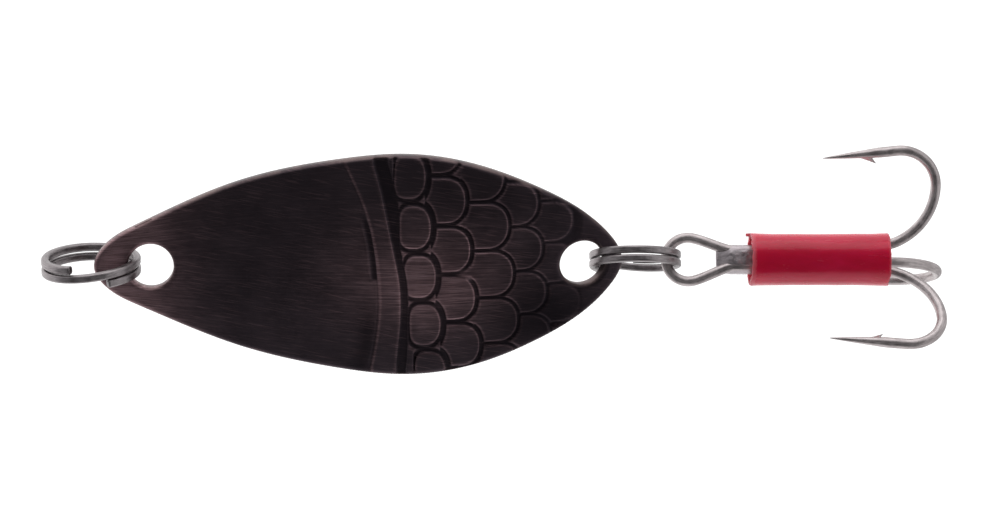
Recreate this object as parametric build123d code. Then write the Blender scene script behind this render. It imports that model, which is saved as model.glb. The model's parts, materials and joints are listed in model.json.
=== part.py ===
from build123d import *
from math import cos, radians, sin
import os

# Spoon lure hanging from its line. Millimetres. +Z is up along the line, the
# embossed face of the blade looks towards -Y and its width lies along X.
# The origin is where the line bears on the inside of the front split ring.

# ---- driving dimensions ----
blade_length = 50.5
blade_thickness = 1.5
hole_radius = 2.17
front_hole_depth = 5.4         # blade nose down to the front hole's centre
rear_hole_height = 3.75        # blade tail up to the rear hole's centre
rear_hole_tilt = 15.0          # slope of the tail where the rear hole is punched

front_ring_wire = 0.8          # split-ring wire is square with eased corners
front_ring_outer = 4.75
front_ring_pitch = 0.95        # coil to coil along the ring's axis
front_ring_gap_middle = 87.0   # where the cut ends are, from the blade towards the face

rear_ring_wire = 0.75
rear_ring_outer = 4.46
rear_ring_pitch = 0.85
rear_ring_gap_middle = 249.0
rear_ring_roll = 25.0          # turn of the rear ring about the lure's long axis
tail_offset = 0.5              # the ring hangs from the back rim of the tilted hole
ring_corner = 0.2              # eased corner of the ring wire
ring_gap = 48.0                # angle between a ring's two cut ends

hook_wire = 1.0
arm_angles = (3.7, 239.0, 118.0)   # hook planes about the lure's axis; the last is the single
eye_angle = arm_angles[2] - 90     # the eye lies across the third hook's plane
third_hook_drop = 1.6          # the single hook is brazed on lower than the pair
third_shank_drop = 0.3         # and its shank ends below the throat
shank_ring = 0.9               # radius on which the three shanks stand in the braze
eye_inner_radius = 1.65
throat_length = 3.3            # from the eye's widest level to where its wires meet
throat_height = 2.7            # bare shanks between the eye and the sleeve
bend_radius = 3.5              # outer half of the bend
entry_radius = 6.0             # wider inner half, where the shank runs into the bend
bend_axis_radius = 7.27        # the bend's centre, out from the treble's axis
bend_drop = 0.9                # the bend's centre below the sleeve's end
bend_overturn = 6.0            # how far past the crown the bend turns in to the spear
spear_reach = 6.6              # hook point above the sleeve's lower end
bend_entry = -145.0            # where the flared shank meets the wider half
flare_height = 6.0             # the shanks start to part this far above the sleeve's end
flare_radius = 1.5
point_taper = 4.3
point_tip_radius = 0.06
barb_root = 3.5                # barb root and free tip, back from the hook point
barb_tip = 4.9
barb_undercut = 0.5
barb_stand = 0.6
barb_width = 0.4

sleeve_radius = 2.5
sleeve_bore = 2.22
sleeve_length = 13.4
braze_radius = 1.3
braze_rise = 0.45              # the braze fills the foot of the eye this far above the throat
braze_depth = 0.6              # and runs this far into the sleeve

# ---- levels worked out from them ----
blade_nose = -4.3                                   # height of the blade's nose
front_ring_centre = front_ring_wire - front_ring_outer
blade_tail = blade_nose - blade_length
front_hole_z = blade_nose - front_hole_depth
rear_hole_z = blade_tail + rear_hole_height
rear_ring_top = rear_hole_z - 0.64                  # the ring hangs low in its hole
rear_ring_centre = rear_ring_top - rear_ring_outer
rear_ring_floor = rear_ring_centre - rear_ring_outer + rear_ring_wire
eye_top = rear_ring_floor + 0.2                     # inside of the eye, over the ring
eye_level = eye_top - eye_inner_radius              # the eye's widest level
throat_level = eye_level - throat_length
sleeve_top = throat_level - throat_height
sleeve_end = sleeve_top - sleeve_length

# Centreline of the blade seen from its edge: (distance below the nose, depth in Y).
# It is flat at the nose, bellies towards the face and turns away at the tail.
blade_profile = (
    (0.0, -0.2),
    (front_hole_depth, 0.08),
    (13.0, 0.1),
    (21.0, -0.3),
    (29.0, -0.75),
    (36.0, -0.6),
    (42.0, 0.15),
    (blade_length - rear_hole_height, 1.2),
    (blade_length, 2.3),
)
rear_hole_y = blade_profile[-2][1]
tail_line_y = rear_hole_y + tail_offset
profile_stations = 16          # points that carry the edge profile to each skin
blank_margin = 13.0            # reach of the cutting solids, more than the blade's half width

# Half outline of the blade: (distance below the nose, half width).
blade_outline = (
    (1.3, 2.25),
    (4.1, 3.95),
    (13.7, 8.15),
    (23.5, 10.4),
    (29.3, 10.95),
    (35.5, 10.2),
    (42.8, 7.4),
    (49.2, 2.75),
)


def split_ring(outer, wire, pitch, gap_middle, centre, roll):
    """Two flat coils of square wire side by side, joined by one short crossing.

    The ring's axis lies along X, then turns about Z by the roll. The crossing and
    both cut ends sit together round gap_middle, measured from below the ring
    towards the face.
    """
    mean = outer - wire / 2
    far = gap_middle + ring_gap / 2
    first = CenterArc((0, 0), mean, far, 360 - ring_gap)
    upper = Pos(0, 0, -pitch / 2) * first
    lower = Pos(0, 0, pitch / 2) * first
    ways = [upper % 1, lower % 0]
    crossing = Spline(upper @ 1, lower @ 0, tangents=ways)
    path = Wire([upper.edge(), crossing.edge(), lower.edge()])
    section_plane = Plane(origin=path @ 0, x_dir=(0, 0, 1), z_dir=path % 0)
    section = section_plane * RectangleRounded(wire, wire, ring_corner)
    coil = sweep(section, path=path)
    axis = (-cos(radians(roll)), -sin(radians(roll)), 0)
    return Plane(origin=centre, x_dir=(0, 0, -1), z_dir=axis) * coil


def make_blade():
    """Leaf-shaped sheet bent to the edge profile, with a hole near each end."""
    spine = Spline(*[(y, blade_nose - s) for s, y in blade_profile])
    half = Vector(0, 0, blade_thickness / 2)
    stations = [k / profile_stations for k in range(profile_stations + 1)]
    skins = []
    for side in (1, -1):
        skin = [spine @ u + (spine % u).cross(half * side) for u in stations]
        skins.append(Spline(*skin))
    caps = [Line(skins[0] @ u, skins[1] @ u) for u in (0, 1)]
    edge_view = make_face(skins + caps)
    bent_sheet = extrude(Plane.YZ * edge_view, amount=blank_margin, both=True)
    right = [(w, blade_nose - s) for s, w in blade_outline]
    left = [(-w, z) for w, z in reversed(right)]
    loop = [(0, blade_nose)] + right + [(0, blade_tail)] + left
    outline = make_face(Spline(*loop, periodic=True))
    blank = extrude(Plane.XZ * outline, amount=blank_margin, both=True)
    blade = bent_sheet & blank
    punch = Cylinder(hole_radius, blank_margin, rotation=(90, 0, 0))
    blade -= Pos(0, 0, front_hole_z) * punch
    blade -= Pos(0, rear_hole_y, rear_hole_z) * Rot(-rear_hole_tilt, 0, 0) * punch
    return blade


def shank_point(angle, radius, z):
    """Point at a height and radius in the vertical plane of one hook."""
    a = radians(angle)
    return Vector(radius * cos(a), radius * sin(a), z) + treble_axis


def hook_plane(angle):
    """Vertical plane of one hook: X away from the treble's axis, Y up."""
    a = radians(angle)
    return Plane(origin=treble_axis, x_dir=(cos(a), sin(a), 0), z_dir=(sin(a), -cos(a), 0))


def bend_point(turn, radius):
    """Point and heading on a hook's bend, in its plane; turn 0 faces away from the shank."""
    outward = Vector(cos(turn), sin(turn))
    heading = Vector(-sin(turn), cos(turn))
    foot = sleeve_end - bend_drop - bend_radius
    return Vector(bend_axis_radius, foot + radius) + outward * radius, heading


def arm_path(angle, shank_top):
    """Shank, flare, round bend and spear of one hook, up to where its point tapers."""
    entry, entry_way = bend_point(radians(bend_entry), entry_radius)
    inner, _ = bend_point(radians(bend_entry - 90) / 2, entry_radius)
    bottom, _ = bend_point(radians(-90), bend_radius)
    outer, _ = bend_point(radians(-45), bend_radius)
    crown, spear_way = bend_point(radians(bend_overturn), bend_radius)
    flare_start = Vector(shank_ring, sleeve_end + flare_height)
    shank = Line(Vector(shank_ring, shank_top), flare_start)
    sleeve_mouth = Vector(flare_radius, sleeve_end)
    flare_ways = [Vector(0, -1), entry_way]
    flare = Spline(flare_start, sleeve_mouth, entry, tangents=flare_ways)
    easing = ThreePointArc(entry, inner, bottom)
    bend = ThreePointArc(bottom, outer, crown)
    spear = Line(crown, crown + spear_way * (spear_length() - point_taper))
    plane = hook_plane(angle)
    return [plane * curve.edge() for curve in (shank, flare, easing, bend, spear)]


def spear_length():
    """Length from the end of the bend to the hook's point."""
    crown, spear_way = bend_point(radians(bend_overturn), bend_radius)
    return (sleeve_end + spear_reach - crown.Y) / spear_way.Y


def bend_wire(edges):
    """Round wire bent along a chain of edges."""
    path = Wire(edges)
    section = Plane(origin=path @ 0, z_dir=path % 0) * Circle(hook_wire / 2)
    return sweep(section, path=path)


def add_point(hook, angle):
    """Ground point and barb at the end of one hook's spear."""
    plane = hook_plane(angle)
    crown, spear_way = bend_point(radians(bend_overturn), bend_radius)
    point = crown + spear_way * spear_length()
    inward = Vector(-spear_way.Y, spear_way.X)
    shaft = plane.from_local_coords(point - spear_way * point_taper)
    tip = plane.from_local_coords(point)
    cone_plane = Plane(origin=shaft, z_dir=tip - shaft)
    low_end = (Align.CENTER, Align.CENTER, Align.MIN)
    cone = Cone(hook_wire / 2, point_tip_radius, point_taper, align=low_end)
    root = point - spear_way * barb_root
    free = point - spear_way * barb_tip + inward * (hook_wire / 2 + barb_stand)
    heel = point - spear_way * (barb_tip - barb_undercut)
    sliver = make_face(Polyline(root, free, heel, close=True))
    barb = extrude(plane * sliver, amount=barb_width / 2, both=True)
    return hook + cone_plane * cone + barb


def make_eye_path():
    """Eye loop of the hook pair, its two wires closing into the throat."""
    a = radians(eye_angle)
    along = Vector(cos(a), sin(a), 0)
    loop_radius = eye_inner_radius + hook_wire / 2
    centre = treble_axis + Vector(0, 0, eye_level)
    sides = [centre + along * loop_radius, centre - along * loop_radius]
    arch = ThreePointArc(sides[0], centre + Vector(0, 0, loop_radius), sides[1])
    ways = [Vector(0, 0, -1.6), Vector(0, 0, -1)]
    feet = [shank_point(angle, shank_ring, throat_level) for angle in arm_angles[:2]]
    legs = [Spline(side, foot, tangents=ways) for side, foot in zip(sides, feet)]
    return [legs[0].edge(), arch.edge(), legs[1].edge()]


def make_hook_pair():
    """One wire that forms the first hook, the eye and the second hook."""
    edges = arm_path(arm_angles[0], throat_level) + make_eye_path()
    edges += arm_path(arm_angles[1], throat_level)
    wire = bend_wire(edges)
    for angle in arm_angles[:2]:
        wire = add_point(wire, angle)
    return wire


def make_third_hook():
    """Single hook brazed into the groove between the pair's shanks."""
    shank_top = throat_level - third_shank_drop + third_hook_drop
    hook = add_point(bend_wire(arm_path(arm_angles[2], shank_top)), arm_angles[2])
    return Pos(0, 0, -third_hook_drop) * hook


def make_braze(wires):
    """Braze collar round the shanks, with the wires' own room taken out."""
    low = sleeve_top - braze_depth
    high = throat_level + braze_rise
    shoulder = throat_level - braze_rise
    sections = []
    for level, radius in ((low, braze_radius), (shoulder, braze_radius), (high, shank_ring)):
        sections.append(Plane(origin=treble_axis + Vector(0, 0, level)) * Circle(radius))
    collar = loft(sections, ruled=True)
    for wire in wires:
        collar -= wire
    return max(collar.solids(), key=lambda s: s.volume)


treble_axis = Vector(0, tail_line_y, 0)

front_ring = split_ring(
    front_ring_outer,
    front_ring_wire,
    front_ring_pitch,
    front_ring_gap_middle,
    (0, 0, front_ring_centre),
    0,
)
rear_ring = split_ring(
    rear_ring_outer,
    rear_ring_wire,
    rear_ring_pitch,
    rear_ring_gap_middle,
    (0, tail_line_y, rear_ring_centre),
    rear_ring_roll,
)
blade = make_blade()

hook_pair = make_hook_pair()
third_hook = make_third_hook()
sleeve = Cylinder(sleeve_radius, sleeve_length) - Cylinder(sleeve_bore, sleeve_length)
sleeve = Pos(*treble_axis) * Pos(0, 0, (sleeve_top + sleeve_end) / 2) * sleeve
braze = make_braze([hook_pair, third_hook])

nodes = {
    "spoon_blade": blade,
    "front_split_ring": front_ring,
    "rear_split_ring": rear_ring,
    "treble_hook_pair": hook_pair,
    "treble_third_hook": third_hook,
    "shank_braze": braze,
    "red_sleeve": sleeve,
}
os.makedirs("parts", exist_ok=True)
for name, solid in nodes.items():
    export_step(solid, f"parts/{name}.step")
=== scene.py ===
import json
import math

import bpy
import numpy as np
from mathutils import Matrix, Vector, noise
from mathutils.geometry import delaunay_2d_cdt


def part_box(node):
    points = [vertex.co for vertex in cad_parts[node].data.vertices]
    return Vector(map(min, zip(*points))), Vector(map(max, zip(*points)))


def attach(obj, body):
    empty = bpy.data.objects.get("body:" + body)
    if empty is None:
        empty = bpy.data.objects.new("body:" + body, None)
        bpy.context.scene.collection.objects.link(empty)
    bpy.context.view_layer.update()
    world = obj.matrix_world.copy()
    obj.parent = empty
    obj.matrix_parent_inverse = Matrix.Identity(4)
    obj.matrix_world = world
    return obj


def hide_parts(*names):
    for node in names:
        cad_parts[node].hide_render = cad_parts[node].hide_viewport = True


# A spoon lure hanging from its line: embossed blade, two split rings and a sleeved treble.
# Shapes are worked out in millimetres in the row frame and turned to metres in one place.
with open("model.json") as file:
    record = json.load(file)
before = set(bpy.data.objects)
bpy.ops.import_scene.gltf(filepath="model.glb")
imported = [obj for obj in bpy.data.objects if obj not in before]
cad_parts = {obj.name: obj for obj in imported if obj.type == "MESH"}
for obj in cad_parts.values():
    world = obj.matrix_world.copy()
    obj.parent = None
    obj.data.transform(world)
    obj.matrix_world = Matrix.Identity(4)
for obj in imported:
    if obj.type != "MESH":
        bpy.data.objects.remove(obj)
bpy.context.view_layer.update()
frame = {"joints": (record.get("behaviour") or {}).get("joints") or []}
MM = 0.001


def node_box(name):
    """Lowest and highest corner of a CAD node, in millimetres."""
    low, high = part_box(name)
    return np.array(low) / MM, np.array(high) / MM


blade_low, blade_high = node_box("spoon_blade")
sleeve_low, sleeve_high = node_box("red_sleeve")
joints = {j["name"]: j for j in frame["joints"]}
rear_ring_axis = np.array(joints["hook_on_rear_ring"]["axis"], float)
rear_ring_centre = np.array(joints["hook_on_rear_ring"]["pos_m"], float) / MM
front_ring_centre = np.array(joints["blade_on_front_ring"]["pos_m"], float) / MM
tail_y = rear_ring_centre[1]

# ---------------------------------------------------------------- small helpers


def smooth(x):
    """Smooth step from 0 at 0 to 1 at 1."""
    x = np.clip(x, 0, 1)
    return x * x * (3 - 2 * x)


def cubic_spline(points, closed=False):
    """Cubic spline through points by chord length, as a function of 0..1."""
    p = np.array(points, float)
    if closed:
        p = np.vstack([p, p[:1]])
    n = len(p)
    t = np.concatenate([[0], np.cumsum(np.linalg.norm(np.diff(p, axis=0), axis=1))])
    h = np.diff(t)
    a = np.zeros((n, n))
    b = np.zeros((n, p.shape[1]))
    for i in range(1, n - 1):
        a[i, i - 1 : i + 2] = h[i - 1], 2 * (h[i - 1] + h[i]), h[i]
        b[i] = 6 * ((p[i + 1] - p[i]) / h[i] - (p[i] - p[i - 1]) / h[i - 1])
    if closed:
        a[0, 0], a[0, -1] = 1, -1
        a[-1, 0], a[-1, 1], a[-1, -2], a[-1, -1] = 2 * h[0], h[0], h[-1], 2 * h[-1]
        b[-1] = 6 * ((p[1] - p[0]) / h[0] - (p[-1] - p[-2]) / h[-1])
    else:
        a[0, 0] = a[-1, -1] = 1
    m = np.linalg.solve(a, b)

    def at(u):
        x = np.clip(np.asarray(u, float), 0, 1) * t[-1]
        i = np.clip(np.searchsorted(t, x, side="right") - 1, 0, n - 2)
        g = (x - t[i])[:, None]
        w = h[i][:, None]
        left = (w - g) ** 3 * m[i] / (6 * w) + g**3 * m[i + 1] / (6 * w)
        return (
            left
            + (p[i] / w - w * m[i] / 6) * (w - g)
            + (p[i + 1] / w - w * m[i + 1] / 6) * g
        )

    return at


def resample(points, step):
    """Points spaced evenly along a polyline."""
    seg = np.linalg.norm(np.diff(points, axis=0), axis=1)
    run = np.concatenate([[0], np.cumsum(seg)])
    marks = np.linspace(0, run[-1], max(int(round(run[-1] / step)), 2) + 1)
    columns = [np.interp(marks, run, points[:, k]) for k in range(points.shape[1])]
    return np.stack(columns, 1)


def new_piece(name, verts, faces, body, stands_for, material, values=None, uv=None):
    """Makes a mesh piece from millimetre points, ties it to its body and hides the CAD node it
    stands for.
    """
    mesh = bpy.data.meshes.new(name)
    mesh.from_pydata((np.asarray(verts) * MM).tolist(), [], faces)
    mesh.polygons.foreach_set("use_smooth", [True] * len(mesh.polygons))
    for key, data in (values or {}).items():
        layer = mesh.attributes.new(key, "FLOAT", "POINT")
        layer.data.foreach_set("value", np.asarray(data, np.float32))
    if uv is not None:
        layer = mesh.uv_layers.new(name="UVMap")
        corners = np.empty(len(mesh.loops), np.int32)
        mesh.loops.foreach_get("vertex_index", corners)
        layer.data.foreach_set("uv", np.asarray(uv, np.float32)[corners].ravel())
    mesh.validate()
    mesh.update()
    obj = bpy.data.objects.new(name, mesh)
    bpy.context.scene.collection.objects.link(obj)
    mesh.materials.append(material)
    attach(obj, body)
    if stands_for:
        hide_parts(stands_for)
    return obj


# ---------------------------------------------------------------- materials


class Nodes:
    """Shorthand for building one material's node tree."""

    def __init__(self, name):
        self.material = bpy.data.materials.new(name)
        self.material.use_nodes = True
        self.tree = self.material.node_tree
        self.shader = self.tree.nodes["Principled BSDF"]
        self.coords = self.tree.nodes.new("ShaderNodeTexCoord")

    def node(self, kind, inputs=None, **settings):
        made = self.tree.nodes.new("ShaderNode" + kind)
        for key, value in settings.items():
            setattr(made, key, value)
        for key, value in (inputs or {}).items():
            self.put(made.inputs[key], value)
        return made

    def put(self, socket, value):
        if isinstance(value, bpy.types.NodeSocket):
            self.tree.links.new(value, socket)
        else:
            socket.default_value = value

    def attribute(self, name):
        return self.node("Attribute", attribute_name=name).outputs["Fac"]

    def noise(self, vector, scale, detail=3.0, rough=0.5, stretch=None):
        if stretch:
            move = self.node("Mapping", {"Vector": vector})
            move.inputs["Scale"].default_value = stretch
            vector = move.outputs["Vector"]
        made = self.node(
            "TexNoise", {"Vector": vector, "Scale": scale, "Detail": detail, "Roughness": rough}
        )
        return made.outputs["Fac"]

    def ramp(self, factor, low, high, start=0.0, end=1.0):
        """Number that goes from start to end as the factor goes from low to high."""
        made = self.node("MapRange", {"Value": factor, "From Min": low, "From Max": high})
        made.inputs["To Min"].default_value = start
        made.inputs["To Max"].default_value = end
        made.interpolation_type = "SMOOTHSTEP"
        return made.outputs["Result"]

    def math(self, operation, a, b):
        return self.node("Math", {0: a, 1: b}, operation=operation).outputs[0]

    def mix(self, factor, a, b):
        made = self.node("Mix", data_type="RGBA")
        self.put(made.inputs["Factor"], factor)
        self.put(made.inputs["A"], a if isinstance(a, bpy.types.NodeSocket) else (*a, 1))
        self.put(made.inputs["B"], b if isinstance(b, bpy.types.NodeSocket) else (*b, 1))
        return made.outputs["Result"]

    def bump(self, height, strength, distance, under=None):
        made = self.node("Bump", {"Height": height, "Strength": strength, "Distance": distance})
        if under is not None:
            self.put(made.inputs["Normal"], under)
        return made.outputs["Normal"]

    def set(self, **values):
        for key, value in values.items():
            self.put(self.shader.inputs[key.replace("_", " ")], value)


PATINA = ((0.032, 0.026, 0.032), (0.058, 0.046, 0.056))
BARE_COPPER = ((0.27, 0.165, 0.176), (0.40, 0.262, 0.282))
# colour of the painted glint along the blade's edges and hole rims
EDGE_GLINT = (0.34, 0.25, 0.23)
# near black: patina in the grooves, and painted shade on the tail's -X side
DARK_PATINA_AND_SHADE = (0.012, 0.010, 0.013)
SCRATCH_LEAN = math.radians(11)    # the scratches cross the blade's length at this angle
SCRATCH_WIDTH = 0.12
SCRATCH_LENGTH = 3.2


def blade_material():
    """Darkened copper: black in the grooves, brushed bare on the worn high spots, with a painted
    highlight over the belly, a painted glint along the edges and painted shade on the tail.
    """
    n = Nodes("oxidised_copper")
    uv = n.coords.outputs["UV"]
    local = n.coords.outputs["Object"]
    recess = n.attribute("recess")
    wear_and_highlight = n.attribute("wear_and_highlight")
    edge_glint = n.attribute("edge_glint")
    painted_shade = n.attribute("painted_shade")
    fine = n.noise(uv, 1.0, 4.0, 0.65, (26.0, 300.0, 1.0))
    coarse = n.noise(uv, 1.0, 3.0, 0.55, (9.0, 70.0, 1.0))
    hair = n.noise(uv, 1.0, 2.0, 0.5, (40.0, 900.0, 1.0))
    patch = n.noise(local, 260.0, 4.0, 0.6)
    pits = n.noise(local, 2600.0, 2.0, 0.5)
    # bare metal shows where the blade is worn and under the painted highlight over the belly, in
    # streaks along the brushing
    streak = n.ramp(fine, 0.3, 0.72, 0.35, 1.5)
    streak = n.math("MULTIPLY", streak, n.ramp(coarse, 0.3, 0.7, 0.7, 1.25))
    streak = n.math("MULTIPLY", streak, n.ramp(hair, 0.3, 0.75, 0.75, 1.3))
    bare = n.math("MULTIPLY", wear_and_highlight, n.ramp(recess, 0.0, 1.0, 1.0, 0.3))
    bare = n.math("MULTIPLY", bare, streak)
    bare = n.math("MULTIPLY", bare, n.ramp(patch, 0.25, 0.75, 0.75, 1.2))
    # loose scratches that cross the grain at a small angle
    leaning = n.node("Mapping", {"Vector": local}, vector_type="TEXTURE")
    leaning.inputs["Rotation"].default_value = (0, SCRATCH_LEAN, 0)
    leaning.inputs["Scale"].default_value = (SCRATCH_WIDTH * MM, 1, SCRATCH_LENGTH * MM)
    scratch = n.ramp(n.noise(leaning.outputs["Vector"], 1.0, 1.0, 0.5), 0.57, 0.65, 0.0, 0.42)
    scratch = n.math("MULTIPLY", scratch, n.ramp(wear_and_highlight, 0.04, 0.2, 0.35, 1.0))
    bare = n.math("MAXIMUM", bare, scratch)
    patina = n.mix(patch, *PATINA)
    copper = n.mix(n.ramp(coarse, 0.35, 0.7), *BARE_COPPER)
    colour = n.mix(bare, patina, copper)
    colour = n.mix(n.math("MULTIPLY", recess, 0.55), colour, DARK_PATINA_AND_SHADE)
    # painted shade on the -X side of the tail and along the first gill mark
    colour = n.mix(n.math("MULTIPLY", painted_shade, 0.8), colour, DARK_PATINA_AND_SHADE)
    # painted glint along the outer edge and the hole rims, broken up by the patch noise
    edge = n.math("MULTIPLY", edge_glint, n.ramp(patch, 0.35, 0.62, 0.08, 0.45))
    colour = n.mix(edge, colour, EDGE_GLINT)
    grain = n.math("ADD", n.math("MULTIPLY", fine, 0.5), n.math("MULTIPLY", patch, 0.5))
    rough = n.ramp(grain, 0.3, 0.7, 0.34, 0.5)
    rough = n.math("ADD", rough, n.math("MULTIPLY", recess, 0.14))
    normal = n.bump(fine, 0.22, 0.06 * MM)
    normal = n.bump(hair, 0.12, 0.04 * MM, normal)
    normal = n.bump(pits, 0.1, 0.03 * MM, normal)
    n.set(Base_Color=colour, Metallic=1.0, Roughness=rough, Normal=normal)
    return n.material


def plated_material(name, colours, roughness, grain, scale=900.0, pit=0.12):
    """Plated steel with a drawn grain, darker blotches and fine pits.

    colours and roughness are (low, high) pairs, grain is the fineness of the drawn lines
    along and round the wire, scale that of the blotches, and pit the strength of the pits.
    """
    dark, bright = colours
    n = Nodes(name)
    local = n.coords.outputs["Object"]
    uv = n.coords.outputs["UV"]
    drawn = n.noise(uv, 1.0, 3.0, 0.6, grain)
    blotch = n.noise(local, scale, 4.0, 0.6)
    pits = n.noise(local, scale * 4, 2.0, 0.5)
    wear_and_shade = n.attribute("wear_and_shade")
    tone = n.math("ADD", n.math("MULTIPLY", drawn, 0.55), n.math("MULTIPLY", blotch, 0.45))
    colour = n.mix(n.ramp(tone, 0.33, 0.66), dark, bright)
    # darker by the mask: wear at cut ends and barbs, painted shade between the ring coils and on
    # their inside
    colour = n.mix(n.math("MULTIPLY", wear_and_shade, 0.7), colour, [c * 0.35 for c in dark])
    rough = n.ramp(blotch, 0.3, 0.7, *roughness)
    normal = n.bump(drawn, 0.18, 0.04 * MM)
    normal = n.bump(pits, pit, 0.04 * MM, normal)
    n.set(Base_Color=colour, Metallic=1.0, Roughness=rough, Normal=normal)
    return n.material


SLEEVE_RED = ((0.62, 0.004, 0.042), (0.76, 0.008, 0.066))
CUT_VINYL = (0.72, 0.24, 0.28)


def sleeve_material():
    """Glossy translucent red vinyl, cloudier and paler at its cut ends."""
    n = Nodes("red_plastic")
    local = n.coords.outputs["Object"]
    cloud = n.noise(local, 420.0, 4.0, 0.6, (1.0, 1.0, 0.35))
    scuff = n.noise(local, 2600.0, 3.0, 0.6, (1.0, 1.0, 0.2))
    cut = n.attribute("wear_and_shade")
    colour = n.mix(n.ramp(cloud, 0.3, 0.7), *SLEEVE_RED)
    colour = n.mix(n.math("MULTIPLY", cut, 0.6), colour, CUT_VINYL)
    rough = n.ramp(scuff, 0.35, 0.75, 0.16, 0.3)
    rough = n.math("ADD", rough, n.math("MULTIPLY", cut, 0.3))
    normal = n.bump(scuff, 0.05, 0.05 * MM)
    n.set(Base_Color=colour, Roughness=rough, Normal=normal, IOR=1.45)
    bleed = (1.1 * MM, 0.2 * MM, 0.2 * MM)    # red light travels furthest inside the vinyl
    n.set(Subsurface_Weight=0.35, Subsurface_Radius=bleed, Subsurface_Scale=1.0)
    return n.material


# ---------------------------------------------------------------- the blade

NOSE_Z = blade_high[2]
LENGTH = blade_high[2] - blade_low[2]
THICK = 1.5
HOLE_R = 2.17
EDGE_R = 0.42          # rounding of the blade's outer edge
RIM_R = 0.4            # rounding of the hole rims
CROWN = 0.75           # how far the belly's sides fall back from its middle
HOLES = ((0.0, 5.4), (0.0, LENGTH - 3.9))
# the blade seen from its side: (distance from the nose, middle of its thickness in Y)
PROFILE = (
    (0.0, -0.2), (5.4, 0.08), (13.0, 0.1), (21.0, -0.3), (29.0, -0.75),
    (36.0, -0.6), (42.0, 0.15), (46.75, 1.2), (50.5, 2.3),
)
# half of the blade's outline: (distance from the nose, half width)
HALF_OUTLINE = (
    (1.3, 2.25), (4.1, 3.95), (13.7, 8.15), (23.5, 10.4),
    (29.3, 10.95), (35.5, 10.2), (42.8, 7.4), (49.2, 2.75),
)


def outline_loop():
    """Closed outline of the blade as dense (x, s) points, s running down from the nose."""
    right = [(w, s) for s, w in HALF_OUTLINE]
    left = [(-w, s) for w, s in reversed(right)]
    loop = cubic_spline([(0, 0)] + right + [(0, LENGTH)] + left, closed=True)
    return loop(np.linspace(0, 1, 4001))[:-1]


OUTLINE = outline_loop()
SPARSE_OUTLINE = OUTLINE[::4]
HALF_LINE = OUTLINE[: len(OUTLINE) // 2]


def half_width(s):
    """Half the blade's width at each distance from the nose."""
    return np.interp(s, HALF_LINE[:, 1], HALF_LINE[:, 0])


def inset(loop, distance):
    """Closed loop moved inwards by a distance."""
    way = np.roll(loop, -1, 0) - np.roll(loop, 1, 0)
    way /= np.linalg.norm(way, axis=1)[:, None]
    return loop + np.stack([-way[:, 1], way[:, 0]], 1) * distance


def nearest(points, loop):
    """Distance from each point to a dense closed loop."""
    best = np.zeros(len(points))
    batch = 4000
    for start in range(0, len(points), batch):
        part = points[start : start + batch]
        gap = part[:, None, :] - loop[None, :, :]
        best[start : start + batch] = np.sqrt((gap**2).sum(2).min(1))
    return best


profile_line = cubic_spline(PROFILE)(np.linspace(0, 1, 801))
profile_slope = np.gradient(profile_line[:, 1], profile_line[:, 0])


def through(x, places):
    """Smooth curve through (s, x) places: distance down the blade at each width x."""
    knots = np.array(sorted((w, s) for s, w in places))
    dense = cubic_spline(knots)(np.linspace(0, 1, 200))
    return np.interp(x, dense[:, 0], dense[:, 1])


# Scales, column by column from the gills to the tail: place of the column's middle scale
# (s, x), spacing across the blade, half sizes along and across, and the groove's width.
SCALE_COLUMNS = (
    (31.05, -0.8, 4.88, 1.58, 2.23, 0.4),
    (34.2, 1.85, 4.83, 1.95, 2.26, 0.34),
    (37.85, -0.6, 4.73, 2.12, 2.28, 0.18),
    (40.75, 1.8, 4.4, 2.18, 2.12, 0.1),
    (44.0, 0.25, 4.1, 2.1, 1.97, 0.12),
)
SCALE_ROWS = range(-3, 4)
SCALE_SLANT = 0.1      # the columns lean towards the nose on the +X side
STRIKE = 0.26          # depth the die pressed the grooves in
BEVEL = 0.2            # width of the rounded edge round each scale
BLANK_FROM = 45.6      # no scales from here to the tail
ROUND = 2.25           # exponent of a scale's rounded side: 2 is an ellipse
SQUARE = 3.6           # exponent of the first column's squarer scales
FAR = 9.0              # a distance past any gap between scales


def scale_edge(ds, dx, power):
    """Superellipse: 0 on its edge, below zero inside, in units of its half length."""
    return (np.abs(ds) ** power + dx**power) ** (1 / power) - 1


def scale_gaps(x, s):
    """Signed distance outside the nearest scale: below zero on a scale, above it in a groove.

    A scale is round towards the tail. Towards the nose the first column's are squarish, and
    the others run straight in under the column before them.
    """
    gap = np.full_like(x, FAR)
    before = np.full_like(x, FAR)
    for column, (s0, x0, spacing, along, across, groove) in enumerate(SCALE_COLUMNS):
        outlines = np.full_like(x, FAR)
        plates = np.full_like(x, FAR)
        for row in SCALE_ROWS:
            cx = x0 + spacing * row
            ds = (s - s0 + SCALE_SLANT * cx) / along
            dx = np.abs(x - cx) / across
            round_side = scale_edge(ds, dx, ROUND) * along
            front_side = scale_edge(ds, dx, SQUARE) * along if column == 0 else (dx - 1) * across
            outline = np.where(ds > 0, np.maximum(round_side, front_side), front_side)
            outlines = np.minimum(outlines, np.where(ds > -1, outline, FAR))
            plates = np.minimum(plates, outline)
        plates = np.maximum(plates, groove - before)
        gap = np.minimum(gap, plates)
        before = np.minimum(before, outlines)
    return gap


def past_step(x, s):
    """Distance towards the tail from the first gill mark."""
    places = ((23.84, 10.4), (26.23, 4.65), (27.14, -1.2), (27.22, -3.9), (26.4, -10.1))
    return s - through(x, places)


# spots on the blade: the place (s, x) of each and its size along and across
WEAK_SPOT = ((35.35, -0.7), (0.8, 0.62))     # where the die hardly marked the blade
# painted shade on the -X side of the tail
SHADED_TAIL = ((43.5, -5.0), (6.0, 3.8))
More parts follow.
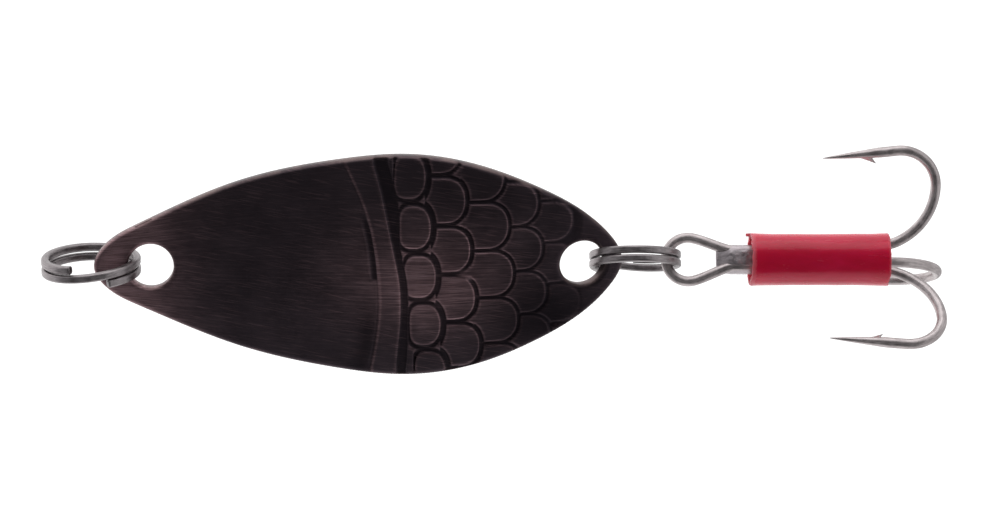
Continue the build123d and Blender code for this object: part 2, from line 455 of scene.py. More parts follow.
# painted highlight: bare copper laid over the belly where the light reflects, brightest at its core
BELLY_HIGHLIGHT = ((31.5, -0.8), (8.5, 5.4))
HIGHLIGHT_CORE = ((32.6, -2.0), (3.2, 3.2))
WORN_NOSE = 6.0


def spot(x, s, place, size):
    """Squared distance from a spot's place, in units of its size."""
    return ((s - place[0]) / size[0]) ** 2 + ((x - place[1]) / size[1]) ** 2


def painted_shade_pattern(x, s):
    """Painted shade: darker on the -X side of the tail and along the first gill mark."""
    tail = np.exp(-spot(x, s, *SHADED_TAIL))
    step = past_step(x, s)
    along_step = np.exp(-(((step + 0.9) / 1.1) ** 2)) * smooth((-x - 1.0) / 6.5) * (step < 0.1)
    return np.maximum(tail, 0.75 * along_step)


def relief(x, s):
    """How deep the die pressed the face in, in millimetres, and the edges it left proud."""
    # first gill mark: a step, deeper cut on its nose side along part of its length
    step = past_step(x, s)
    sunk = smooth((x + 1.35) / 0.4) * smooth((6.4 - x) / 2.6)
    hollow = smooth((step + 0.95) / 0.7) * smooth(-step / 0.16)
    deep = 0.24 * hollow * sunk
    deep = np.maximum(deep, 0.07 * smooth(1 - np.abs(step + 0.1) / 0.2))
    proud = 1.6 * np.exp(-(((step - 0.1) / 0.12) ** 2))
    # second gill mark: a channel that opens towards the +X edge
    places = ((27.4, 10.2), (28.45, 5.9), (28.88, 2.2), (29.5, -1.2), (29.64, -4.7), (29.35, -10.0))
    across = s - through(x, places)
    half = 0.36 + 0.34 * smooth((x - 1.5) / 5.0) + 0.1 * smooth((-x - 5.0) / 4.0)
    channel = smooth((half + 0.1 - np.abs(across)) / 0.24)
    deep = np.maximum(deep, STRIKE * channel)
    proud = np.maximum(proud, 0.5 * np.exp(-(((across + half + 0.16) / 0.11) ** 2)))
    # scales, struck more shallowly towards the tail and hardly at all in one spot
    gap = scale_gaps(x, s)
    fade = 1 - 0.5 * smooth((s - 36.5) / 10)
    weak = np.exp(-spot(x, s, *WEAK_SPOT))
    strike = STRIKE * fade * (1 - 0.94 * weak)
    blank = smooth(s - BLANK_FROM)
    behind_gill = smooth((across - half * 0.5) / 0.3)
    scales = strike * smooth((gap + BEVEL) / BEVEL) * (1 - blank) * behind_gill
    deep = np.maximum(deep, scales)
    edge = np.exp(-(((gap + BEVEL * 0.85) / 0.12) ** 2)) * (1 - blank) * behind_gill * fade
    proud = np.maximum(proud, edge * (1 - 0.9 * weak))
    return deep, proud


EDGE_STEPS = (0.0, 0.05, 0.13, 0.24, 0.38, 0.55)    # loops of points in from the edge
RIM_STEPS = (0.0, 0.05, 0.12, 0.22, 0.36)           # and out from each hole
EDGE_PITCH = 0.16
PLAIN_PITCH = 0.32
EMBOSSED_PITCH = 0.11
EMBOSSED_FROM = 23.2
ROW_STEP = 0.866           # height of an equal-sided triangle
EDGE_CLEAR = 0.68          # the open sheet's points keep off the loops by this much
RIM_CLEAR = 0.5


def blade_points():
    """Flat (x, s) points of the blade, with the start and length of each edge loop."""
    loops = []
    for distance in EDGE_STEPS:
        line = inset(OUTLINE, distance)
        loops.append(resample(np.vstack([line, line[:1]]), EDGE_PITCH)[:-1])
    rims = [(0, len(loops[0]))]
    turns = np.linspace(0, 2 * math.pi, 97)[:-1]
    for cx, cs in HOLES:
        rims.append((sum(len(loop) for loop in loops), len(turns)))
        for distance in RIM_STEPS:
            r = HOLE_R + distance
            loops.append(np.stack([cx + r * np.cos(turns), cs + r * np.sin(turns)], 1))
    # open sheet: coarse where it is plain, fine where it is embossed
    rows = []
    widest = 11
    bands = ((0.0, EMBOSSED_FROM, PLAIN_PITCH), (EMBOSSED_FROM, LENGTH, EMBOSSED_PITCH))
    for low, high, pitch in bands:
        for k, s in enumerate(np.arange(low, high, pitch * ROW_STEP)):
            xs = np.arange(-widest, widest, pitch) + (k % 2) * pitch / 2
            rows.append(np.stack([xs, np.full_like(xs, s)], 1))
    grid = np.vstack(rows)
    grid = grid[np.abs(grid[:, 0]) < half_width(grid[:, 1]) - 0.3]
    grid = grid[nearest(grid, SPARSE_OUTLINE) > EDGE_CLEAR]
    for cx, cs in HOLES:
        away = np.hypot(grid[:, 0] - cx, grid[:, 1] - cs)
        grid = grid[away > HOLE_R + RIM_CLEAR]
    return np.vstack([*loops, grid]), rims


def blade_sheet():
    """Flat points of the blade, its triangles (counter-clockwise) and its outline's length."""
    flat, rims = blade_points()
    edges = [(a + k, a + (k + 1) % n) for a, n in rims for k in range(n)]
    out = delaunay_2d_cdt([Vector(p) for p in flat.tolist()], edges, [], 0, 1e-7, False)
    flat = np.array([tuple(v) for v in out[0]])
    tris = np.array([f for f in out[2] if len(f) == 3])
    middle = flat[tris].mean(1)
    keep = np.abs(middle[:, 0]) < half_width(middle[:, 1]) + 0.01
    for cx, cs in HOLES:
        keep &= np.hypot(middle[:, 0] - cx, middle[:, 1] - cs) > HOLE_R * 0.999
    tris = tris[keep]
    first, second, third = (flat[tris[:, k]] for k in range(3))
    a, b = second - first, third - first
    area = a[:, 0] * b[:, 1] - b[:, 0] * a[:, 1]
    tris[area < 0] = tris[area < 0][:, ::-1]
    return flat, tris, rims[0][1]


def edge_walls(front, n):
    """Quads that join the front skin to the back along every side of only one triangle."""
    sides = np.stack([front, np.roll(front, -1, 1)], 2).reshape(-1, 2)
    keys = sides.min(1).astype(np.int64) * n + sides.max(1)
    _, which, count = np.unique(keys, return_inverse=True, return_counts=True)
    return [(b, a, a + n, b + n) for a, b in sides[count[which] == 1].tolist()]


def rounding(distance, radius):
    """How far a rounded edge falls away, at a distance in from it."""
    return radius - np.sqrt(np.maximum(radius**2 - np.maximum(radius - distance, 0) ** 2, 0))


def wear_and_highlight_pattern(x, s, proud):
    """How bare the metal is rubbed, with a painted highlight over the belly, and how close to the
    nose each point is.
    """
    belly_highlight = np.exp(-(spot(x, s, *BELLY_HIGHLIGHT) ** 1.35))
    bright = np.exp(-spot(x, s, *HIGHLIGHT_CORE))
    nose = np.exp(-((s / WORN_NOSE) ** 2))
    # painted highlight over the belly, brightest at its core, and real wear round the nose
    wear_and_highlight = np.clip(0.46 * belly_highlight + 0.6 * bright + 1.5 * nose + 0.05, 0, 1)
    # the proud scale edges are partly worn bright and partly a painted highlight, most of it inside
    # the belly highlight
    return np.clip(wear_and_highlight + proud * (0.26 + 0.45 * belly_highlight), 0, 1), nose


def make_blade(material):
    """The blade: two skins over one flat sheet of triangles, joined round every edge."""
    flat, tris, edge_count = blade_sheet()
    n = len(flat)
    x, s = flat[:, 0], flat[:, 1]
    to_edge = nearest(flat, SPARSE_OUTLINE)
    to_edge[:edge_count] = 0
    to_hole = np.full(n, FAR)
    for cx, cs in HOLES:
        to_hole = np.minimum(to_hole, np.abs(np.hypot(x - cx, s - cs) - HOLE_R))
    half = THICK / 2 - np.maximum(rounding(to_edge, EDGE_R), rounding(to_hole, RIM_R))
    inland = smooth(to_edge / 0.35) * smooth(to_hole / 0.4)
    depth, proud = relief(x, s)
    depth *= inland
    waves = [noise.noise(Vector((a * 0.16, b * 0.1, 3.1))) for a, b in zip(x, s)]
    unevenness = 0.03 * np.array(waves)
    centre_y = np.interp(s, profile_line[:, 0], profile_line[:, 1])
    slope = np.interp(s, profile_line[:, 0], profile_slope)
    centre_y = centre_y + CROWN * ((x / 10.8) ** 2 - 0.12)
    ny, nz = 1 / np.hypot(1, slope), slope / np.hypot(1, slope)

    def skin(offset):
        return np.stack([x, centre_y + ny * offset, NOSE_Z - s + nz * offset], 1)

    shows_through = 0.18    # share of the grooves' depth that the back shows
    front = skin(-half + depth + unevenness)
    back = skin(half - depth * shows_through + unevenness)
    verts = np.vstack([front, back])
    # s points down, so a counter-clockwise (x, s) triangle looks backwards
    front_faces = tris[:, ::-1]
    faces = [tuple(f) for f in front_faces.tolist()]
    faces += [(c + n, b + n, a + n) for a, b, c in faces]
    faces += edge_walls(front_faces, n)
    # bare copper where the blade is worn, plus a painted highlight over the belly
    wear_and_highlight, nose = wear_and_highlight_pattern(x, s, proud * inland)
    # where the painted edge glint goes: near the outline and the hole rims
    edge_glint = smooth(1 - np.minimum(to_edge, to_hole) / 0.3)
    plain = np.zeros(n)
    values = {
        "recess": np.concatenate([np.clip(depth / 0.2, 0, 1), plain]),
        "wear_and_highlight": np.concatenate([wear_and_highlight, 0.3 * nose + 0.1]),
        "edge_glint": np.concatenate([edge_glint, edge_glint]),
        # painted shade on the -X side of the tail and along the first gill mark
        "painted_shade": np.concatenate([painted_shade_pattern(x, s), plain]),
    }
    # the brushing runs along the blade and closes in towards its narrow ends
    fan = x / (half_width(s) * 0.55 + 6)
    uv = np.stack([s / 50, fan], 1)
    return new_piece(
        "embossed_blade", verts, faces, "blade", "spoon_blade", material,
        values, np.vstack([uv, uv]),
    )


# ---------------------------------------------------------------- swept wires


def ring_faces(rows, k, closed=False):
    """Quads between successive rings of k points; closed joins the last ring to the first."""
    faces = []
    for i in range(rows if closed else rows - 1):
        for j in range(k):
            a, b = i * k + j, i * k + (j + 1) % k
            faces.append((a, b, (b + k) % (rows * k), (a + k) % (rows * k)))
    return faces


CAP_SHRINK = 0.86      # the end faces are this much smaller than the wire


def sweep(path, side, section, scale=None, shift=None, caps=0.06):
    """Tube of one section along a path. side is the section's first axis at each point.

    section is (k, 2); scale is one factor per path point, shift moves single points of the
    section: (path points, k, 3) in side, up, along; and caps is how far the ends' bevels reach.
    """
    count = len(path)
    along = np.gradient(path, axis=0)
    along /= np.linalg.norm(along, axis=1)[:, None]
    side = side - (side * along).sum(1)[:, None] * along
    side /= np.linalg.norm(side, axis=1)[:, None]
    up = np.cross(along, side)
    scale = np.ones(count) if scale is None else scale
    k = len(section)
    verts = np.zeros((count, k, 3))
    for i in range(count):
        ring = section * scale[i]
        verts[i] = path[i] + ring[:, :1] * side[i] + ring[:, 1:] * up[i]
        if shift is not None:
            verts[i] += shift[i] @ np.stack([side[i], up[i], along[i]])
    first = (verts[0] - path[0]) * CAP_SHRINK + path[0] - along[0] * caps
    last = (verts[-1] - path[-1]) * CAP_SHRINK + path[-1] + along[-1] * caps
    verts = np.concatenate([first[None], verts, last[None]])
    rows = len(verts)
    faces = ring_faces(rows, k)
    faces.append(tuple(reversed(range(k))))
    faces.append(tuple(range((rows - 1) * k, rows * k)))
    return verts.reshape(-1, 3), faces, rows


def tube_uv(rows, k, length):
    """UVs in millimetres along and once round a tube."""
    u = np.repeat(np.linspace(0, length, rows), k)
    v = np.tile(np.abs(np.linspace(-1, 1, k)), rows)
    return np.stack([u, v], 1)


def flat_section(wide, thick, count=28, power=3.6, crease=0.0):
    """Rolled wire: a soft rectangle, with a shallow crease round its outer face."""
    t = np.linspace(0, 2 * math.pi, count + 1)[:-1]
    c, s = np.cos(t), np.sin(t)
    r = (np.abs(c) ** power + np.abs(s) ** power) ** (-1 / power)
    r = r * (1 - crease * np.exp(-((s / 0.22) ** 2)) * (c > 0))
    return np.stack([thick / 2 * c * r, wide / 2 * s * r], 1)


RING_GAP = 48.0        # degrees between a ring's two cut ends
CROSSING = 170.0       # degrees over which one coil passes across to the other
END_SPREAD = 0.2       # how far a cut end stands off from its own coil
END_REACH = 60.0       # degrees over which it comes back
ROLLED = 0.97          # the rolled wire's section against its nominal size


def make_ring(name, node, body, material, centre, axis, mean, wire, pitch, gap_middle):
    """Split ring: two coils of rolled wire, an easy crossing and two cut ends."""
    axis = axis / np.linalg.norm(axis)
    down = np.array([0.0, 0.0, -1.0])
    near = np.cross(axis, down)
    near *= 1 if near[1] < 0 else -1
    degrees = np.linspace(gap_middle + RING_GAP / 2, gap_middle - RING_GAP / 2 + 720, 620)
    turn = np.radians(degrees)
    crossed = smooth((degrees - gap_middle - 360) / CROSSING + 0.5)
    level = pitch / 2 - pitch * crossed
    level += END_SPREAD * np.clip(1 - (degrees - degrees[0]) / END_REACH, 0, 1) ** 2
    level -= END_SPREAD * np.clip(1 - (degrees[-1] - degrees) / END_REACH, 0, 1) ** 2
    radius = mean + 0.03 * np.sin(3 * turn + 0.7)
    spoke = np.cos(turn)[:, None] * down + np.sin(turn)[:, None] * near
    path = centre + spoke * radius[:, None] + level[:, None] * axis
    section = flat_section(wire * ROLLED, wire * ROLLED, crease=0.05)
    verts, faces, rows = sweep(path, spoke, section)
    k = len(section)
    # painted shade between the coils and on the inside of the ring, and darker wear at its cut ends
    painted_coil_shade = 0.35 * np.exp(-(((np.abs(section[:, 1]) - wire / 2) / 0.07) ** 2))
    wear_and_shade = np.tile(painted_coil_shade, (rows, 1))
    wear_and_shade[:, section[:, 0] < 0] += 0.25
    wear_and_shade[:3] += 0.5
    wear_and_shade[-3:] += 0.5
    length = mean * (turn[-1] - turn[0])
    return new_piece(
        name, verts, faces, body, node, material,
        {"wear_and_shade": np.clip(wear_and_shade, 0, 1).ravel()}, tube_uv(rows, k, length),
    )


# ---------------------------------------------------------------- the treble

WIRE_R = 0.5
ARM_ANGLES = (3.7, 239.0, 118.0)    # directions of the pair's two hooks and of the third
EYE_ANGLE = 28.0           # direction in which the eye is widest
SHANK_RING = 0.9           # the shanks stand this far from the treble's middle line
SLEEVE_END = sleeve_low[2]
SLEEVE_TOP = sleeve_high[2]
THROAT = SLEEVE_TOP + 2.7
LEG_FOOT = THROAT - 1.0    # where the eye's legs have come in to the shanks
EYE_LEVEL = THROAT + 3.3
EYE_R = 2.15
BEND_R = 3.5               # radius of the bend from its lowest point to the spear
ENTRY_R = 6.0              # and of its easier start
BEND_OUT = 7.27            # how far out the bend's lowest point is
BEND_FOOT = SLEEVE_END - 0.9 - BEND_R
BEND_ENTRY = math.radians(-145)
OVERTURN = math.radians(6.0)    # the bend goes on past upright by this much
REACH = 6.6                # height of the points above the sleeve's foot
FLARE_RADIUS = 1.5         # how far out the shanks stand at the sleeve's mouth
FLARE_HEIGHT = 6.0         # and how far above it they start to spread
LEG_PULL = (3.4, 2.6)      # how strongly the eye's legs leave the eye and meet the shanks
WIRE_STEP = 0.11           # spacing of the points along a hook
THIRD_DROP = 1.6           # the single hook is brazed on lower than the pair
THIRD_TOP = THROAT - 0.3   # where its shank ends
TAPER = 5.4                # length of a hook's sharpened end
TIP_SCALE = 0.06           # how fine the wire is at the very point


def hermite(start, start_way, end, end_way, count=24):
    """Cubic from start to end that leaves and arrives along the given ways."""
    u = np.linspace(0, 1, count)[:, None]
    return (
        (2 * u**3 - 3 * u**2 + 1) * start
        + (u**3 - 2 * u**2 + u) * start_way
        + (-2 * u**3 + 3 * u**2) * end
        + (u**3 - u**2) * end_way
    )


def bend_arc(radius, start, end):
    """Arc of the bend in the hook's plane; both of its radii share the lowest point."""
    turn = np.linspace(start, end, 40)
    return np.stack([BEND_OUT + radius * np.cos(turn), BEND_FOOT + radius * (1 + np.sin(turn))], 1)


def arm_line(shank_top):
    """Centreline of one hook in its own plane: (radius, height) points, shank to point."""
    inner = bend_arc(ENTRY_R, BEND_ENTRY, -math.pi / 2)
    outer = bend_arc(BEND_R, -math.pi / 2, OVERTURN)
    top = np.array([SHANK_RING, SLEEVE_END + FLARE_HEIGHT])
    mouth = np.array([FLARE_RADIUS, SLEEVE_END])
    start = inner[0]
    way = np.array([-math.sin(BEND_ENTRY), math.cos(BEND_ENTRY)])
    slope = (start - top) / np.linalg.norm(start - top)
    high, low = np.linalg.norm(mouth - top), np.linalg.norm(start - mouth)
    shank = np.array([[SHANK_RING, shank_top], top])
    flare = hermite(top, np.array([0, -high]), mouth, slope * high)
    lead = hermite(mouth, slope * low, start, way * low)
    heading = np.array([-math.sin(OVERTURN), math.cos(OVERTURN)])
    spear = (SLEEVE_END + REACH - outer[-1][1]) / heading[1]
    point = np.array([outer[-1] + heading * spear])
    line = np.vstack([shank, flare, lead, inner, outer, point])
    fresh = np.concatenate([[True], np.linalg.norm(np.diff(line, axis=0), axis=1) > 1e-6])
    return line[fresh]


def arm_path(angle, shank_top):
    """One hook's centreline in the row frame, and the sideways direction of its plane."""
    line = arm_line(shank_top)
    a = math.radians(angle)
    out = np.array([math.cos(a), math.sin(a), 0])
    path = out * line[:, :1] + np.array([0, tail_y, 0]) + np.array([0, 0, 1.0]) * line[:, 1:]
    return path, np.array([-math.sin(a), math.cos(a), 0])


def eye_path():
    """Centreline of the eye from the foot of one leg, over the arch, to the other foot."""
    a = math.radians(EYE_ANGLE)
    along = np.array([math.cos(a), math.sin(a), 0])
    centre = np.array([0, tail_y, EYE_LEVEL])
    legs = []
    for sign, angle in ((1, ARM_ANGLES[0]), (-1, ARM_ANGLES[1])):
        b = math.radians(angle)
        foot = np.array([SHANK_RING * math.cos(b), tail_y + SHANK_RING * math.sin(b), LEG_FOOT])
        side = centre + along * EYE_R * sign
        leave, arrive = (np.array([0, 0, -pull]) for pull in LEG_PULL)
        legs.append(hermite(side, leave, foot, arrive))
    t = np.linspace(0, math.pi, 50)[1:-1, None]
    arch = centre + along * EYE_R * np.cos(t) + np.array([0, 0, 1.0]) * EYE_R * np.sin(t)
    return np.vstack([legs[0][::-1], arch, legs[1]])


def round_section(radius, count=28):
    """Round wire."""
    t = np.linspace(0, 2 * math.pi, count + 1)[:-1]
    return np.stack([radius * np.cos(t), radius * np.sin(t)], 1)


def hook_sides(path, planes):
    """Section axis along the path: across each hook's plane, turned smoothly between them."""
    keys = np.array([p[0] for p in planes])
    vectors = np.array([p[1] for p in planes])
    height = np.linspace(0, 1, len(path))
    return np.stack([np.interp(height, keys, vectors[:, k]) for k in range(3)], 1)


BARB_ROOT = 3.5        # distances back from the hook's point
BARB_TIP = 4.68
BARB_STAND = 0.66      # how far the barb stands off the wire, and leans back
BARB_SWEEP = 0.5
BARB_WIDTH = 0.17


def point_shape(to_point, section, inner, back):
    """Taper and barb of one hook end, for points at a distance to_point from its point.

    inner is the sign of the side of the section that faces the shank, and back is the
    sign of the way along the path that leads away from the point.
    """
    taper = np.clip(to_point / TAPER, 0, 1)
    scale = TIP_SCALE + (1 - TIP_SCALE) * taper**0.8
    facing = section[:, 1] * inner > 0
    narrow = np.exp(-((section[:, 0] / BARB_WIDTH) ** 2)) * facing
    rise = np.clip((to_point - BARB_ROOT) / (BARB_TIP - BARB_ROOT), 0, 1) ** 1.2
    lift = (rise * (to_point <= BARB_TIP))[:, None] * narrow[None]
    shift = np.zeros((*lift.shape, 3))
    shift[:, :, 1] = lift * BARB_STAND * inner
    shift[:, :, 2] = lift * BARB_SWEEP * back
    return scale, shift, lift


def hook_mesh(name, node, path, side, ends, material):
    """Sweeps a hook wire and shapes the ends that carry a point.

    ends holds, for each point, whether it is at the path's start and its inner sign.
    """
    section = round_section(WIRE_R)
    seg = np.linalg.norm(np.diff(path, axis=0), axis=1)
    run = np.concatenate([[0], np.cumsum(seg)])
    scale = np.ones(len(path))
    shift = np.zeros((len(path), len(section), 3))
    wear_and_shade = np.zeros((len(path), len(section)))
    for at_start, inner in ends:
        to_point = run if at_start else run[-1] - run
        s, d, lift = point_shape(to_point, section, inner, 1 if at_start else -1)
        scale *= s
        shift += d
        wear_and_shade += 0.5 * lift
    verts, faces, rows = sweep(path, side, section, scale, shift, caps=0.03)
    wear_and_shade = np.vstack([wear_and_shade[:1], wear_and_shade, wear_and_shade[-1:]])
    return new_piece(
        name, verts, faces, "treble", node, material,
        {"wear_and_shade": np.clip(wear_and_shade, 0, 1).ravel()}, tube_uv(rows, len(section), run[-1]),
    )


def inner_sign(point, heading, side):
    """Sign of the section's second axis that faces the shank, at a hook's point."""
    up = np.cross(heading, side)
    return -np.sign(up[:2] @ (point - [0, tail_y, 0])[:2])


def make_hooks(material):
    """The pair of hooks bent from one wire with the eye, and the third hook beside them."""
    first, side_a = arm_path(ARM_ANGLES[0], LEG_FOOT)
    second, side_b = arm_path(ARM_ANGLES[1], LEG_FOOT)
    eye = eye_path()
    path = np.vstack([first[::-1], eye[1:-1], second])
    marks = np.cumsum(np.concatenate([[0], np.linalg.norm(np.diff(path, axis=0), axis=1)]))
    first_run = marks[len(first) - 1] / marks[-1]
    eye_run = marks[len(first) + len(eye) - 3] / marks[-1]
    path = resample(path, WIRE_STEP)
    a = math.radians(EYE_ANGLE)
    eye_side = np.array([-math.sin(a), math.cos(a), 0])
    side_b = -side_b * np.sign(-side_b @ eye_side)
    turning = 0.02    # share of the wire over which the section turns into the eye's plane
    side = hook_sides(
        path,
        [
            (0, side_a), (first_run, side_a), (first_run + turning, eye_side),
            (eye_run - turning, eye_side), (eye_run, side_b), (1, side_b),
        ],
    )
    start_sign = inner_sign(path[0], path[1] - path[0], side[0])
    end_sign = inner_sign(path[-1], path[-1] - path[-2], side[-1])
    ends = [(True, start_sign), (False, end_sign)]
    hook_mesh("hook_pair_wire", "treble_hook_pair", path, side, ends, material)
    third, side_c = arm_path(ARM_ANGLES[2], THIRD_TOP + THIRD_DROP)
    third = resample(third - np.array([0, 0, THIRD_DROP]), WIRE_STEP)
    side = np.tile(side_c, (len(third), 1))
    ends = [(False, inner_sign(third[-1], third[-1] - third[-2], side_c))]
    hook_mesh("third_hook_wire", "treble_third_hook", third, side, ends, material)


BRAZE_RISE = 0.58      # how far the braze climbs above the throat
BRAZE_DIP = 0.9        # and how far it reaches down inside the sleeve
WEB_WIDTH = (1.24, 0.15)       # half width of the web at its top, and what it gains below
BACK_DEPTH = (0.45, 0.95)      # the same for its depth on the third hook's side
FRONT_DEPTH = (0.44, 0.56)     # and on the other


def make_braze(material):
    """Braze metal between the shanks: a flat web in front, fuller round the third hook."""
    top = THROAT + BRAZE_RISE
    levels = np.linspace(top, SLEEVE_TOP - BRAZE_DIP, 60)
    turns = np.linspace(0, 2 * math.pi, 97)[:-1]
    c = np.cos(turns - math.radians(EYE_ANGLE))
    s = np.sin(turns - math.radians(EYE_ANGLE))
    verts = []
    for z in levels:
        down = smooth((top - z) / 1.5)
        half_web = WEB_WIDTH[0] + WEB_WIDTH[1] * down
        back = BACK_DEPTH[0] + BACK_DEPTH[1] * down
        depth = np.where(s > 0, back, FRONT_DEPTH[0] + FRONT_DEPTH[1] * down)
        r = (np.abs(c / half_web) ** 3 + np.abs(s / depth) ** 3) ** (-1 / 3)
        r *= 0.8 + 0.2 * smooth((top - z) / 0.16)
        for radius, t in zip(r, turns):
            place = Vector((math.cos(t), math.sin(t), z))
            rough = noise.noise(place * 2.6) * 0.02 + noise.noise(place * 9) * 0.014
            radius += rough * (0.3 + 0.7 * down)
            verts.append((radius * math.cos(t), tail_y + radius * math.sin(t), z))
    k = len(turns)
    faces = [(a, d, c, b) for a, b, c, d in ring_faces(len(levels), k)]
    faces.append(tuple(range(k)))
    faces.append(tuple(reversed(range(len(verts) - k, len(verts)))))
    uv = np.tile(np.stack([np.zeros(k), turns], 1), (len(levels), 1))
    new_piece(
        "braze_collar", verts, faces, "treble", "shank_braze", material,
        {"wear_and_shade": np.zeros(len(verts))}, uv,
    )


SLEEVE_R = 2.5
SLEEVE_WALL = 0.3
FOOT_RAG = 0.07        # how uneven the cut at the sleeve's foot is, and at its top
TOP_RAG = 0.12
BURR = (24.0, 0.45)    # a nib left by the knife at the top: its direction and its height
CUT_ROUNDING = 0.05


def ragged_cut(turns, seed, size):
    """Height of a hand-made cut round the tube."""
    wide = [noise.noise(Vector((math.cos(t) * 2.2, math.sin(t) * 2.2, seed))) for t in turns]
    fine = [noise.noise(Vector((math.cos(t) * 9, math.sin(t) * 9, seed))) for t in turns]
    return size * np.array(wide) + size * 0.6 * np.array(fine)


def make_sleeve(material):
    """Soft tube cut by hand: slightly oval, swelling at both ends, with ragged cuts."""
    turns = np.linspace(0, 2 * math.pi, 129)[:-1]
    k = len(turns)
    length = SLEEVE_TOP - SLEEVE_END
    near_cut = np.array([0, 0.02, 0.06, 0.12])
    middle = np.linspace(0.25, length - 0.25, 60)
    stations = np.concatenate([near_cut, middle, length - near_cut[::-1]])
    foot_cut = ragged_cut(turns, 5.0, FOOT_RAG)
    top_cut = ragged_cut(turns, 9.0, TOP_RAG)
    top_cut += BURR[1] * np.exp(-(((turns - math.radians(BURR[0])) / 0.045) ** 2))

    def tube_ring(d, skin, outward):
        from_end = min(d, length - d)
        corner = 1 - min(from_end / near_cut[-1], 1)
        bevel = CUT_ROUNDING * (1 - math.sqrt(max(1 - corner**2, 0)))
        swell = 0.04 * math.exp(-(((length - d) / 1.2) ** 2))
        swell += 0.05 * math.exp(-((d / 1.3) ** 2)) - 0.03 * math.sin(math.pi * d / length)
        waves = [noise.noise(Vector((math.cos(t), math.sin(t), d * 0.5))) for t in turns]
        squash = 1 + 0.012 * np.cos(2 * turns)
        r = (skin - outward * bevel + swell + 0.02 * np.array(waves)) * squash
        z = SLEEVE_END + d + foot_cut * smooth(1 - d) + top_cut * smooth(1 - (length - d))
        return np.stack([r * np.cos(turns), tail_y + r * np.sin(turns), z], 1)

    # up the outside, over the top cut and back down the bore
    rows = [tube_ring(d, SLEEVE_R, 1) for d in stations]
    rows += [tube_ring(d, SLEEVE_R - SLEEVE_WALL, -1) for d in reversed(stations)]
    count = len(rows)
    cut = np.full((count, k), 0.5)
    worn_cut = smooth(1 - stations / 0.2) + smooth(1 - (length - stations) / 0.5)
    cut[: count // 2] = worn_cut[:, None]
    new_piece(
        "red_sleeve_tube", np.vstack(rows), ring_faces(count, k, closed=True), "treble",
        "red_sleeve", material, {"wear_and_shade": cut.ravel()},
    )


make_blade(blade_material())
nickel = plated_material(
    "black_nickel", ((0.2, 0.178, 0.184), (0.42, 0.385, 0.392)), (0.3, 0.46), (1.2, 14.0, 1.0)
)
make_ring(
    "front_ring_coils", "front_split_ring", "front_ring", nickel, front_ring_centre,
    np.array([1.0, 0, 0]), mean=4.35, wire=0.8, pitch=0.95, gap_middle=87.0,
)
make_ring(
    "rear_ring_coils", "rear_split_ring", "rear_ring", nickel, rear_ring_centre,
    rear_ring_axis, mean=4.085, wire=0.75, pitch=0.85, gap_middle=249.0,
)
make_hooks(
    plated_material(
        "hook_steel", ((0.32, 0.283, 0.285), (0.6, 0.545, 0.545)), (0.32, 0.46), (0.9, 9.0, 1.0)
    )
)
make_braze(
    plated_material(
        "braze_metal", ((0.32, 0.285, 0.3), (0.56, 0.51, 0.53)), (0.36, 0.5), (1.0, 3.0, 1.0),
        scale=1500.0, pit=0.4,
    )
)
make_sleeve(sleeve_material())

# ---------------------------------------------------------------- stage, light, camera

# all in metres from here on
FLOOR_SIZE = 1.0
FLOOR_PLACE = (0, 0.25, -0.26)
FLOOR_GREY = 0.8
SKY_STRENGTH = 1.25
CENTRE_Z = -0.04305    # half way down the lure
AIM = (0.00017, 0.0, CENTRE_Z)


def pale_floor():
    """Plain floor well below the lure."""
    bpy.ops.mesh.primitive_plane_add(size=FLOOR_SIZE, location=FLOOR_PLACE)
    floor = bpy.context.object
    floor.name = "floor"
    made = bpy.data.materials.new("floor_white")
    made.use_nodes = True
    shader = made.node_tree.nodes["Principled BSDF"]
    shader.inputs["Base Color"].default_value = (FLOOR_GREY, FLOOR_GREY, FLOOR_GREY, 1)
    shader.inputs["Roughness"].default_value = 0.9
    floor.data.materials.append(made)


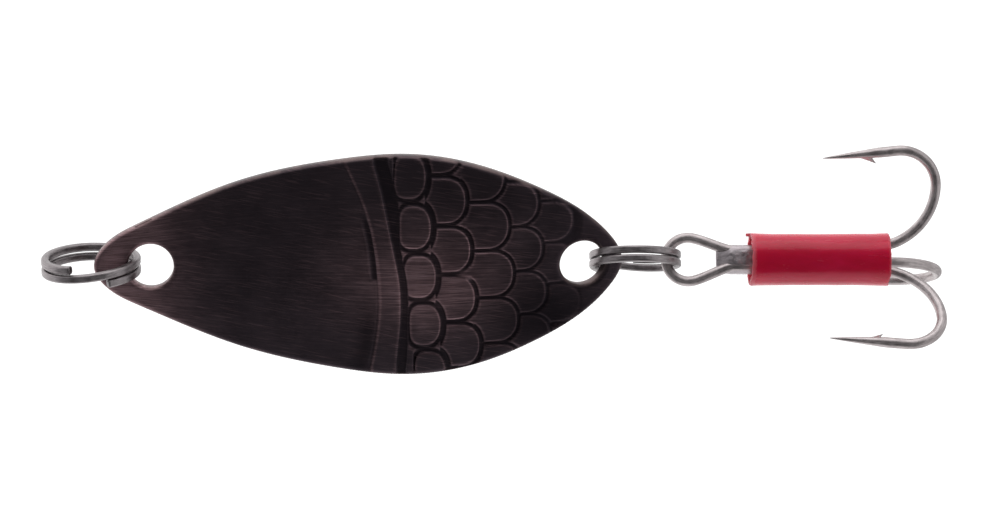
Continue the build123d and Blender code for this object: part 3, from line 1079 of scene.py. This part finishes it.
def studio_sky():
    """Soft light from behind the lure and dim in front of it; the camera sees plain white."""
    world = bpy.data.worlds.new("studio")
    bpy.context.scene.world = world
    world.use_nodes = True
    tree = world.node_tree
    back = tree.nodes["Background"]
    back.inputs["Strength"].default_value = SKY_STRENGTH
    coords = tree.nodes.new("ShaderNodeTexCoord")
    split = tree.nodes.new("ShaderNodeSeparateXYZ")
    tree.links.new(coords.outputs["Generated"], split.inputs[0])
    ramp = tree.nodes.new("ShaderNodeValToRGB")
    shift = tree.nodes.new("ShaderNodeMapRange")
    shift.inputs["From Min"].default_value = -1.0
    tree.links.new(split.outputs["Y"], shift.inputs["Value"])
    tree.links.new(shift.outputs["Result"], ramp.inputs["Fac"])
    stops = ramp.color_ramp.elements
    stops[0].color = (0.06, 0.06, 0.062, 1)
    stops[1].color = (1.0, 1.0, 1.0, 1)
    stops[1].position = 0.65
    for position, grey in ((0.15, 0.09), (0.45, 0.55)):
        middle = stops.new(position)
        middle.color = (grey, grey, grey * 1.02, 1)
    path = tree.nodes.new("ShaderNodeLightPath")
    mix = tree.nodes.new("ShaderNodeMix")
    mix.data_type = "RGBA"
    tree.links.new(path.outputs["Is Camera Ray"], mix.inputs["Factor"])
    tree.links.new(ramp.outputs["Color"], mix.inputs["A"])
    mix.inputs["B"].default_value = (1, 1, 1, 1)
    tree.links.new(mix.outputs["Result"], back.inputs["Color"])


def soft_light(name, place, size, power):
    """Rectangular softbox that faces the lure."""
    lamp = bpy.data.lights.new(name, "AREA")
    lamp.shape = "RECTANGLE"
    lamp.size, lamp.size_y = size
    lamp.energy = power
    made = bpy.data.objects.new(name, lamp)
    bpy.context.scene.collection.objects.link(made)
    made.location = place
    made.rotation_mode = "QUATERNION"
    made.rotation_quaternion = (Vector(AIM) - Vector(place)).to_track_quat("-Z", "Y")


pale_floor()
studio_sky()
soft_light("top_softbox", (0.34, -0.02, CENTRE_Z), (0.3, 0.3), 0.26)
soft_light("low_softbox", (-0.34, -0.16, CENTRE_Z), (0.3, 0.26), 0.17)
soft_light("face_softbox", (0.06, -0.5, CENTRE_Z + 0.06), (0.16, 0.1), 0.04)

CAMERA_AZIMUTH = math.radians(17.0)
CAMERA_ELEVATION = math.radians(2.0)
CAMERA_DISTANCE = 0.29
FRAME_WIDTH = 0.096    # width of the picture at the lure
camera = bpy.data.cameras.new("camera")
camera.lens = camera.sensor_width * CAMERA_DISTANCE / FRAME_WIDTH
eye = bpy.data.objects.new("camera", camera)
bpy.context.scene.collection.objects.link(eye)
# from the lure towards the camera
back = Vector(
    (
        math.sin(CAMERA_AZIMUTH) * math.cos(CAMERA_ELEVATION),
        -math.cos(CAMERA_AZIMUTH) * math.cos(CAMERA_ELEVATION),
        math.sin(CAMERA_ELEVATION),
    )
)
eye.location = Vector(AIM) + back * CAMERA_DISTANCE
eye.rotation_mode = "QUATERNION"
turn = (-back).to_track_quat("-Z", "Y").to_matrix().to_4x4()
# the picture shows the lure on its side, nose to the left
roll = math.radians(-90)
eye.rotation_quaternion = (turn @ Matrix.Rotation(roll, 4, "Z")).to_quaternion()
camera.clip_start, camera.clip_end = 0.01, 20
scene = bpy.context.scene
scene.camera = eye
scene.view_settings.view_transform = "Standard"

bpy.context.view_layer.update()
